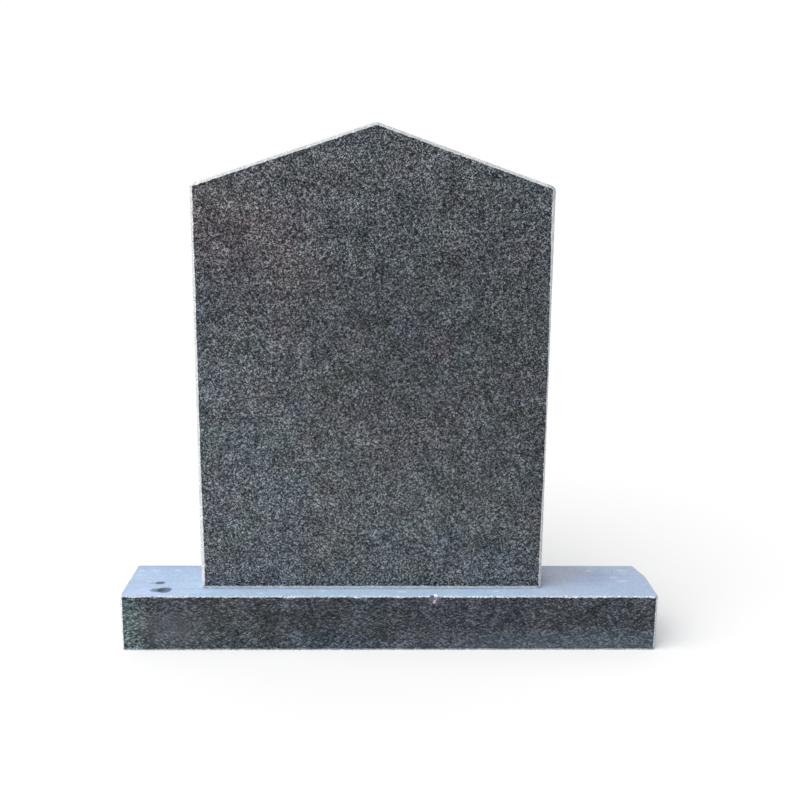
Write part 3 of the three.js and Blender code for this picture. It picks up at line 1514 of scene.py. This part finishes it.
    def tints_and_reflections(self, front: float) -> tuple[Blot, ...]:
        """Lists the colours of the polished front: green at the left, and bluer and paler towards the foot,
        which is painted reflection of the floor.

        Args:
            front: where the front stands on the Y axis.

        Returns:
            The patches.
        """
        return Blot.on_front(front, 0.02, (
            (-0.464, 0.040, 0.024, 0.060, (1.66, 2.05, 1.84), 1.0, 0.9),
            (-0.415, 0.050, 0.046, 0.055, (1.18, 1.16, 1.17), 1.0, 0.7),
            # Bluer and paler towards the foot: painted reflection of the floor.
            (-0.380, 0.020, 0.095, 0.030, (1.20, 1.26, 1.28), 1.0, 0.8),
            (0.230, 0.006, 0.340, 0.026, (1.32, 1.41, 1.54), 1.0, 0.9),
            (0.410, 0.004, 0.110, 0.026, (1.16, 1.18, 1.17), 1.0, 0.9),
            (-0.150, 0.012, 0.120, 0.016, (1.00, 1.07, 1.13), 1.0, 0.7),
            (0.100, 0.060, 0.160, 0.030, (0.92, 0.92, 0.95), 1.0, 0.9),
        ))

    def marks(self, front: float, top: float) -> tuple[Blot, ...]:
        """Lists what marks the polished front: the crushed ring at the chip, the painted shade in the notch
        at the chip, haze that is painted reflection, and scratches.

        Args:
            front: where the front stands on the Y axis.
            top: how high the top lies.

        Returns:
            The patches.
        """
        scratch = (0.24, 0.25, 0.26)
        return Blot.on_front(front, 0.02, (
            (0.0800, 0.0945, 0.0110, 0.0085, (0.150, 0.135, 0.160), 0.38, 0.6, 1.6),
            # Painted shade in the notch where the chip cuts the top edge.
            (0.0735, top, 0.0036, 0.0040, (0.060, 0.066, 0.085), 0.85, 0.4),
            # Haze: painted reflection.
            (-0.385, 0.042, 0.050, 0.026, (0.082, 0.090, 0.100), 0.42, 0.8),
            (0.330, 0.000, 0.220, 0.028, (0.080, 0.097, 0.118), 0.35, 0.9),
            (-0.427, 0.0652, 0.0080, 0.0007, scratch, 0.55, 0.5, 0.3, -0.18),
            (-0.4155, 0.0705, 0.0058, 0.0007, scratch, 0.55, 0.5, 0.3, -0.82),
            (-0.434, 0.0716, 0.0075, 0.0006, scratch, 0.35, 0.5, 0.3, -0.40),
            (-0.364, 0.0754, 0.0060, 0.0006, scratch, 0.40, 0.5, 0.3, -0.30),
        ))

    def streaks(self, front: float, top: float) -> tuple[Blot, ...]:
        """Lists the pale smears on the sawn top, and the crushed white spot behind the chip.

        Args:
            front: where the front stands on the Y axis.
            top: how high the top lies.

        Returns:
            The patches.
        """
        smears = ((-0.464, 0.048, 0.005), (-0.438, 0.048, 0.009), (-0.397, 0.048, 0.006),
                  (-0.464, 0.028, 0.004), (0.377, 0.048, 0.007), (0.440, 0.051, 0.012),
                  (0.415, 0.015, 0.007), (0.428, -0.003, 0.010), (-0.120, -0.050, 0.006),
                  (0.020, -0.055, 0.008), (-0.230, -0.062, 0.005), (0.190, -0.052, 0.006))
        return Blot.on_top(top, 0.01, (
            *((x, y, half, 0.004, (0.56, 0.66, 0.80), 0.6) for x, y, half in smears),
            (0.0797, front + 0.0055, 0.0030, 0.0060, (0.80, 0.86, 0.90), 0.9, 0.5, 0.4),
        ))

    def damp_and_shade(self, front: float, top: float) -> tuple[Blot, ...]:
        """Lists the wet spots on the sawn top, its slow changes of hue with painted light and painted shade
        among them, the slab's painted contact shadow and the painted shade in the notch at the chip.

        Args:
            front: where the front stands on the Y axis.
            top: how high the top lies.

        Returns:
            The patches.
        """
        wet = (0.27, 0.30, 0.32)
        spots = Blot.on_top(top, 0.01, (
            (-0.4030, -0.0470, 0.0126, 0.0122, wet, 1.0, 0.15, 0.30),
            (-0.4150, -0.0475, 0.0128, 0.0088, wet, 0.9, 0.35, 0.30),
            (-0.4170, -0.0130, 0.0086, 0.0066, (0.26, 0.30, 0.33), 1.0, 0.25, 0.35),
            (-0.4280, -0.0140, 0.0075, 0.0024, (0.45, 0.50, 0.55), 0.8, 0.4, 0.3),
        ))
        hues_light_and_shade = Blot.on_top(top, 0.02, (
            # Beside the slab's right side: partly stain, partly painted shade of the slab.
            (0.290, -0.008, 0.042, 0.050, (1.02, 0.96, 0.91), 1.0, 0.8),
            (0.360, 0.048, 0.090, 0.022, (1.01, 0.95, 0.91), 1.0, 0.7),
            (0.365, 0.012, 0.038, 0.034, (0.91, 0.90, 0.93), 1.0, 0.6),
            (0.385, -0.005, 0.130, 0.075, (1.01, 0.960, 0.972), 1.0, 0.6),
            (0.418, 0.030, 0.020, 0.012, (0.93, 0.92, 0.93), 1.0, 0.6),
            # Paler at the left front, darker at the back left, paler in front of the slab: painted light and
            # painted shade from the front-left light.
            (-0.440, -0.020, 0.040, 0.050, (1.05, 1.035, 1.04), 1.0, 0.8),
            (-0.370, 0.055, 0.120, 0.030, (0.94, 0.95, 0.98), 1.0, 0.8),
            (-0.033, -0.058, 0.330, 0.030, (1.03, 1.07, 1.05), 1.0, 0.5),
            (0.315, 0.036, 0.045, 0.034, (1.12, 1.04, 0.99), 1.0, 0.6),
            (0.440, 0.038, 0.016, 0.006, (1.12, 1.09, 1.07), 1.0, 0.5),
            # Paler at the left front: painted light.
            (-0.395, -0.062, 0.085, 0.018, (1.07, 1.06, 1.08), 1.0, 0.5),
        ))
        lines = Blot.on_top(top, 0.01, (
            # Darker line in front of the slab's foot: painted contact shadow.
            (-0.033, -0.0418, 0.308, 0.0032, (0.76, 0.75, 0.74), 1.0, 0.6, 0.3),
            # Painted shade in the notch where the chip cuts the top edge.
            (0.0735, front, 0.0034, 0.0055, (0.30, 0.30, 0.33), 1.0, 0.4),
        ))
        return spots + hues_light_and_shade + lines

    def soil_and_edge_light(self, low: Vector, high: Vector) -> tuple[Blot, ...]:
        """Lists how the ground edges differ: a darker foot, a paler left end that is painted light, a browner
        and darker right end that is part dirt and part painted shade, and a bluer front top that is painted
        skylight.

        Args:
            low: the block's lowest corner.
            high: its highest corner.

        Returns:
            The patches.
        """
        front, top = low.y, high.z
        return (
            # Darker foot, where the block meets the floor.
            Blot((0.0, front, 0.0), (0.6, 0.02, 0.0055), (0.66, 0.67, 0.66), edge=0.3),
            # Paler left end: painted light.
            Blot((low.x, front, 0.05), (0.02, 0.05, 0.08), (1.25, 1.25, 1.25), edge=0.3),
            # Browner, darker right end: part dirt, part painted shade.
            Blot((high.x, 0.0, top), (0.006, 0.090, 0.005), (0.56, 0.53, 0.47), edge=0.4),
            # Bluer front top: painted skylight.
            Blot((0.0, front, top), (0.6, 0.008, 0.004), (1.00, 1.02, 1.12), edge=0.4),
        )

    def chip_colours(self, front: float, top: float) -> tuple[Blot, ...]:
        """Lists the colours inside the chip: its body darker, two dark spots, and a crushed white spot on its
        lip.

        Args:
            front: where the front stands on the Y axis.
            top: how high the top lies.

        Returns:
            The patches.
        """
        return (
            Blot((0.0800, front, 0.0915), (0.0130, 0.02, 0.0075), (0.82, 0.80, 0.87), edge=0.3),
            Blot((0.0835, front, 0.0930), (0.0024, 0.01, 0.0030), (0.50, 0.50, 0.52), edge=0.4),
            Blot((0.0765, front, 0.0955), (0.0018, 0.01, 0.0018), (0.55, 0.55, 0.58), edge=0.4),
            Blot((0.0797, front + 0.004, top), (0.0030, 0.006, 0.0030), (2.2, 2.3, 2.2), edge=0.4),
        )


# The studio


@dataclass
class Studio:
    """The camera, the light and the floor round the object."""

    camera_place: Point = (-0.0269, -1.8150, 0.8204)
    turned_right: float = math.radians(1.333)
    tipped_down: float = math.radians(11.819)
    rolled: float = math.radians(0.528)
    lens: float = 47.137
    sensor: float = 36.0
    far_limit: float = 200.0
    floor_reach: float = 60.0
    floor_steps: int = 96
    floor_tone: float = 0.86
    sky: float = 0.42
    sky_seen: float = 1.02
    key: float = 3.4
    key_from: Point = (-0.50, -0.50, 0.80)
    key_spread: float = math.radians(75)

    def build(self) -> None:
        """Builds the camera, the light and the floor."""
        self.place_camera()
        self.light()
        self.lay_floor()
        bpy.context.scene.view_settings.view_transform = "Standard"

    def place_camera(self) -> None:
        """Places the camera where the photograph was taken from."""
        lens = bpy.data.cameras.new("camera")
        lens.sensor_width = self.sensor
        lens.lens = self.lens
        lens.clip_end = self.far_limit
        camera = bpy.data.objects.new("camera", lens)
        upright = Matrix.Rotation(math.radians(90) - self.tipped_down, 4, "X")
        turned = Matrix.Rotation(-self.turned_right, 4, "Z")
        camera.matrix_world = (Matrix.Translation(self.camera_place) @ turned @ upright
                               @ Matrix.Rotation(self.rolled, 4, "Z"))
        bpy.context.scene.collection.objects.link(camera)
        bpy.context.scene.camera = camera

    def light(self) -> None:
        """Lights the scene with a soft key from the upper left and a pale surround."""
        key = bpy.data.lights.new("key", "SUN")
        key.energy = self.key
        key.angle = self.key_spread
        lamp = bpy.data.objects.new("key", key)
        lamp.rotation_euler = Vector(self.key_from).to_track_quat("Z", "Y").to_euler()
        bpy.context.scene.collection.objects.link(lamp)
        world = bpy.data.worlds.new("surround")
        world.use_nodes = True
        graph = Graph(world.node_tree)
        surround = world.node_tree.nodes["Background"]
        surround.inputs["Color"].default_value = (1, 1, 1, 1)
        seen = graph.add("ShaderNodeLightPath").outputs["Is Camera Ray"]
        strength = graph.total([(seen, self.sky_seen - self.sky), (1.0, self.sky)])
        graph.feed(surround.inputs["Strength"], strength)
        bpy.context.scene.world = world

    def lay_floor(self) -> None:
        """Lays a wide pale floor under the object."""
        mesh = bmesh.new()
        bmesh.ops.create_circle(mesh, cap_ends=True, segments=self.floor_steps, radius=self.floor_reach)
        data = bpy.data.meshes.new("floor")
        mesh.to_mesh(data)
        mesh.free()
        material, _, shader, _ = new_material("floor_matte")
        shader.inputs["Base Color"].default_value = (*(self.floor_tone,) * 3, 1)
        shader.inputs["Roughness"].default_value = 0.9
        shader.inputs["Specular IOR Level"].default_value = 0.1
        data.materials.append(material)
        floor = bpy.data.objects.new("floor", data)
        bpy.context.scene.collection.objects.link(floor)


def main() -> None:
    """Builds the studio and the two stones in order."""
    logging.basicConfig(level=logging.INFO, format="%(name)s: %(message)s")
    Studio().build()
    effects = Effects()
    for maker in (Base(effects), Tablet(effects)):
        stone = maker.build()


if __name__ == "__main__":
    main()
